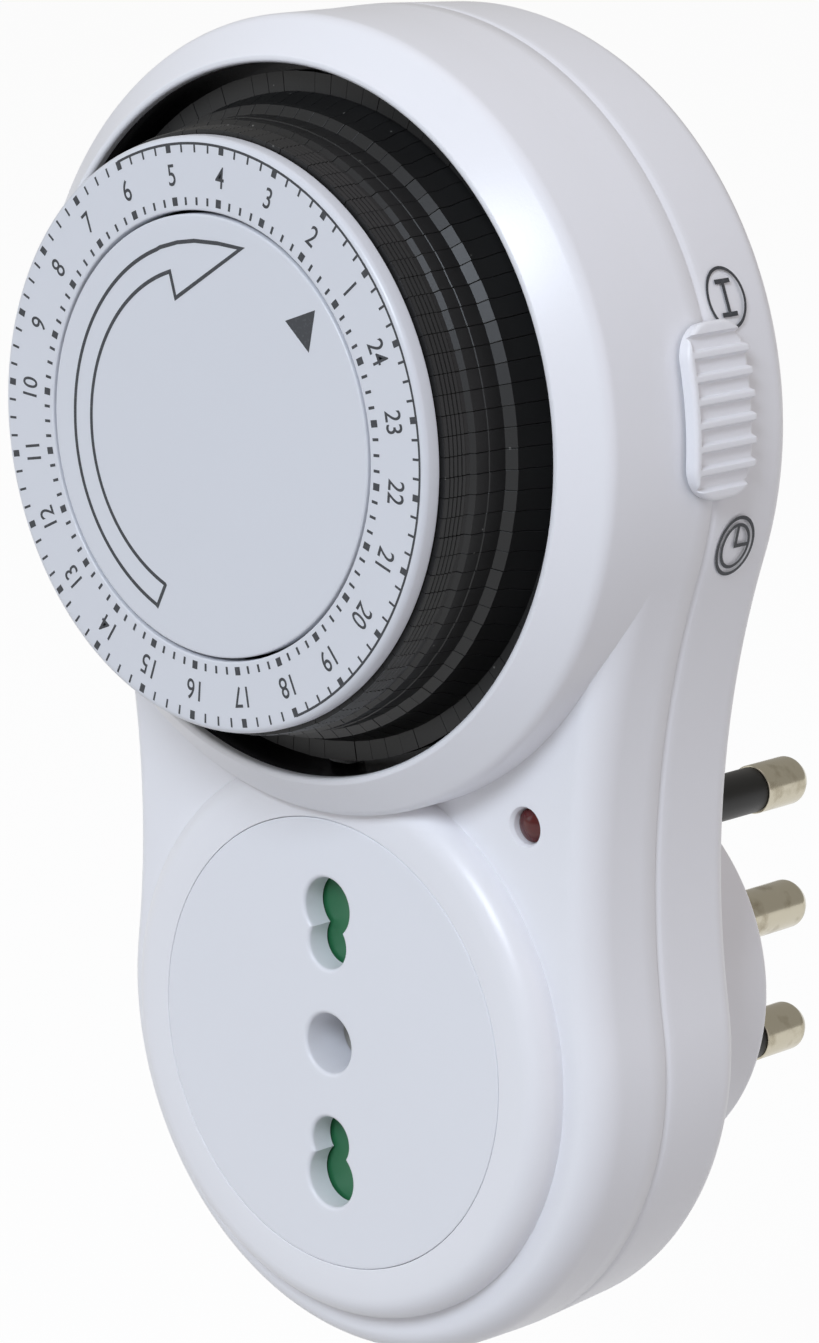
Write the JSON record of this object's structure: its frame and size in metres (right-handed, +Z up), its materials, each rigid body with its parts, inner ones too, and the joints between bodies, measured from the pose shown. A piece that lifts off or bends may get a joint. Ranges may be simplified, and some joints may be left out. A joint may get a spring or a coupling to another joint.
{
  "type": "plug-in timer switch",
  "caption": "Plug-in daily timer: round dial ringed by push-in tappets over a shuttered three-hole socket, with a side selector and a three-pin plug.",
  "frame": {"origin": "centre of the plug's seating face, on the earth pin's axis", "axes": "+Y into the wall along the pins, +Z up towards the dial, +X to the right seen from the front"},
  "size_m": [0.0743, 0.0823, 0.1257],
  "materials": {
    "housing_plastic": "fine spark-eroded satin",
    "insert_plastic": "smooth moulded",
    "inner_plastic": "moulded",
    "dial_plastic": "smooth, printed",
    "black_plastic": "satin moulded",
    "sleeve_plastic": "satin moulded",
    "shutter_plastic": "moulded",
    "lens_plastic": "polished, clear red",
    "nickel_plated_brass": "nickel plated",
    "zinc_plated_steel": "zinc plated",
    "contact_brass": "rolled",
    "lamp_glass": "clear",
    "resistor_coating": "lacquered"
  },
  "bodies": {
    "housing": {"front_shell": "housing_plastic", "rear_shell": "housing_plastic", "screws": "zinc_plated_steel", "socket_insert": "insert_plastic", "contact_carrier": "inner_plastic", "shutter_spring": "zinc_plated_steel", "live_contact": "contact_brass", "neutral_contact": "contact_brass", "earth_contact": "contact_brass", "live_bar": "contact_brass", "neutral_bar": "contact_brass", "earth_bar": "contact_brass", "live_pin": "nickel_plated_brass", "neutral_pin": "nickel_plated_brass", "earth_pin": "nickel_plated_brass", "pin_sleeves": "sleeve_plastic", "pin_retainer": "inner_plastic", "timer_base": "black_plastic", "gear_plate": "zinc_plated_steel", "dial_arbor": "zinc_plated_steel", "centre_disc": "dial_plastic", "reduction_shaft": "zinc_plated_steel", "motor": "zinc_plated_steel", "follower_pin": "zinc_plated_steel", "switch_base": "black_plastic", "fixed_contact": "contact_brass", "indicator_lens": "lens_plastic", "neon_lamp": "lamp_glass", "neon_resistor": "resistor_coating"},
    "dial": {"dial_ring": "dial_plastic", "tappet_carrier": "black_plastic", "other_tappets": "black_plastic", "dial_gear": "inner_plastic"},
    "reduction": {"reduction_gear": "inner_plastic"},
    "motor_rotor": {"motor_pinion": "zinc_plated_steel"},
    "selector": {"selector_knob": "housing_plastic", "selector_link": "black_plastic"},
    "shutter": {"safety_shutter": "shutter_plastic"},
    "follower": {"follower_lever": "inner_plastic"},
    "blade": {"switch_blade": "contact_brass"},
    "tappet_01": {"tappet_01": "black_plastic"},
    "tappet_02": {"tappet_02": "black_plastic"},
    "tappet_03": {"tappet_03": "black_plastic"},
    "tappet_04": {"tappet_04": "black_plastic"},
    "tappet_05": {"tappet_05": "black_plastic"},
    "tappet_06": {"tappet_06": "black_plastic"},
    "tappet_07": {"tappet_07": "black_plastic"},
    "tappet_08": {"tappet_08": "black_plastic"},
    "tappet_09": {"tappet_09": "black_plastic"},
    "tappet_10": {"tappet_10": "black_plastic"},
    "tappet_11": {"tappet_11": "black_plastic"},
    "tappet_12": {"tappet_12": "black_plastic"},
    "tappet_13": {"tappet_13": "black_plastic"},
    "tappet_14": {"tappet_14": "black_plastic"},
    "tappet_15": {"tappet_15": "black_plastic"},
    "tappet_16": {"tappet_16": "black_plastic"},
    "tappet_17": {"tappet_17": "black_plastic"},
    "tappet_18": {"tappet_18": "black_plastic"},
    "tappet_19": {"tappet_19": "black_plastic"},
    "tappet_20": {"tappet_20": "black_plastic"}
  },
  "joints": [
    {"name": "dial_turn", "type": "hinge", "parent": "housing", "child": "dial", "pos_m": [0, -0.05, 0.05865], "axis": [0, 1, 0], "continuous": true},
    {"name": "reduction_turn", "type": "hinge", "parent": "housing", "child": "reduction", "pos_m": [-0.01732, -0.04, 0.06865], "axis": [0, 1, 0], "continuous": true},
    {"name": "motor_turn", "type": "hinge", "parent": "housing", "child": "motor_rotor", "pos_m": [-0.01032, -0.038, 0.05653], "axis": [0, 1, 0], "continuous": true},
    {"name": "selector_slide", "type": "hinge", "parent": "housing", "child": "selector", "pos_m": [0, -0.0355, 0.05865], "axis": [0, 1, 0], "range_deg": [0, 9.3]},
    {"name": "shutter_slide", "type": "slide", "parent": "housing", "child": "shutter", "axis": [1, 0, 0], "range_m": [0, 0.0065], "stiffness_N_per_m": 60, "deforming": ["shutter_spring"]},
    {"name": "follower_tilt", "type": "hinge", "parent": "housing", "child": "follower", "pos_m": [0, -0.0397, 0.037], "axis": [1, 0, 0], "range_deg": [0, 14], "stiffness_Nm_per_rad": 0.004},
    {"name": "blade_flex", "type": "hinge", "parent": "housing", "child": "blade", "pos_m": [0, -0.03545, 0.0346], "axis": [1, 0, 0], "range_deg": [0, 21]},
    {"name": "tappet_01_push", "type": "slide", "parent": "dial", "child": "tappet_01", "axis": [0, 1, 0], "range_m": [0, 0.0022]},
    {"name": "tappet_02_push", "type": "slide", "parent": "dial", "child": "tappet_02", "axis": [0, 1, 0], "range_m": [0, 0.0022]},
    {"name": "tappet_03_push", "type": "slide", "parent": "dial", "child": "tappet_03", "axis": [0, 1, 0], "range_m": [0, 0.0022]},
    {"name": "tappet_04_push", "type": "slide", "parent": "dial", "child": "tappet_04", "axis": [0, 1, 0], "range_m": [0, 0.0022]},
    {"name": "tappet_05_push", "type": "slide", "parent": "dial", "child": "tappet_05", "axis": [0, 1, 0], "range_m": [0, 0.0022]},
    {"name": "tappet_06_push", "type": "slide", "parent": "dial", "child": "tappet_06", "axis": [0, 1, 0], "range_m": [0, 0.0022]},
    {"name": "tappet_07_push", "type": "slide", "parent": "dial", "child": "tappet_07", "axis": [0, 1, 0], "range_m": [0, 0.0022]},
    {"name": "tappet_08_push", "type": "slide", "parent": "dial", "child": "tappet_08", "axis": [0, 1, 0], "range_m": [0, 0.0022]},
    {"name": "tappet_09_push", "type": "slide", "parent": "dial", "child": "tappet_09", "axis": [0, 1, 0], "range_m": [0, 0.0022]},
    {"name": "tappet_10_push", "type": "slide", "parent": "dial", "child": "tappet_10", "axis": [0, 1, 0], "range_m": [0, 0.0022]},
    {"name": "tappet_11_push", "type": "slide", "parent": "dial", "child": "tappet_11", "axis": [0, 1, 0], "range_m": [0, 0.0022]},
    {"name": "tappet_12_push", "type": "slide", "parent": "dial", "child": "tappet_12", "axis": [0, 1, 0], "range_m": [0, 0.0022]},
    {"name": "tappet_13_push", "type": "slide", "parent": "dial", "child": "tappet_13", "axis": [0, 1, 0], "range_m": [0, 0.0022]},
    {"name": "tappet_14_push", "type": "slide", "parent": "dial", "child": "tappet_14", "axis": [0, 1, 0], "range_m": [0, 0.0022]},
    {"name": "tappet_15_push", "type": "slide", "parent": "dial", "child": "tappet_15", "axis": [0, 1, 0], "range_m": [0, 0.0022]},
    {"name": "tappet_16_push", "type": "slide", "parent": "dial", "child": "tappet_16", "axis": [0, 1, 0], "range_m": [0, 0.0022]},
    {"name": "tappet_17_push", "type": "slide", "parent": "dial", "child": "tappet_17", "axis": [0, 1, 0], "range_m": [0, 0.0022]},
    {"name": "tappet_18_push", "type": "slide", "parent": "dial", "child": "tappet_18", "axis": [0, 1, 0], "range_m": [0, 0.0022]},
    {"name": "tappet_19_push", "type": "slide", "parent": "dial", "child": "tappet_19", "axis": [0, 1, 0], "range_m": [0, 0.0022]},
    {"name": "tappet_20_push", "type": "slide", "parent": "dial", "child": "tappet_20", "axis": [0, 1, 0], "range_m": [0, 0.0022]}
  ],
  "couplings": [
    {"joint": "reduction_turn", "follows": "dial_turn", "ratio": -4},
    {"joint": "motor_turn", "follows": "dial_turn", "ratio": 10},
    {"joint": "blade_flex", "follows": "follower_tilt", "ratio": 1.5}
  ]
}
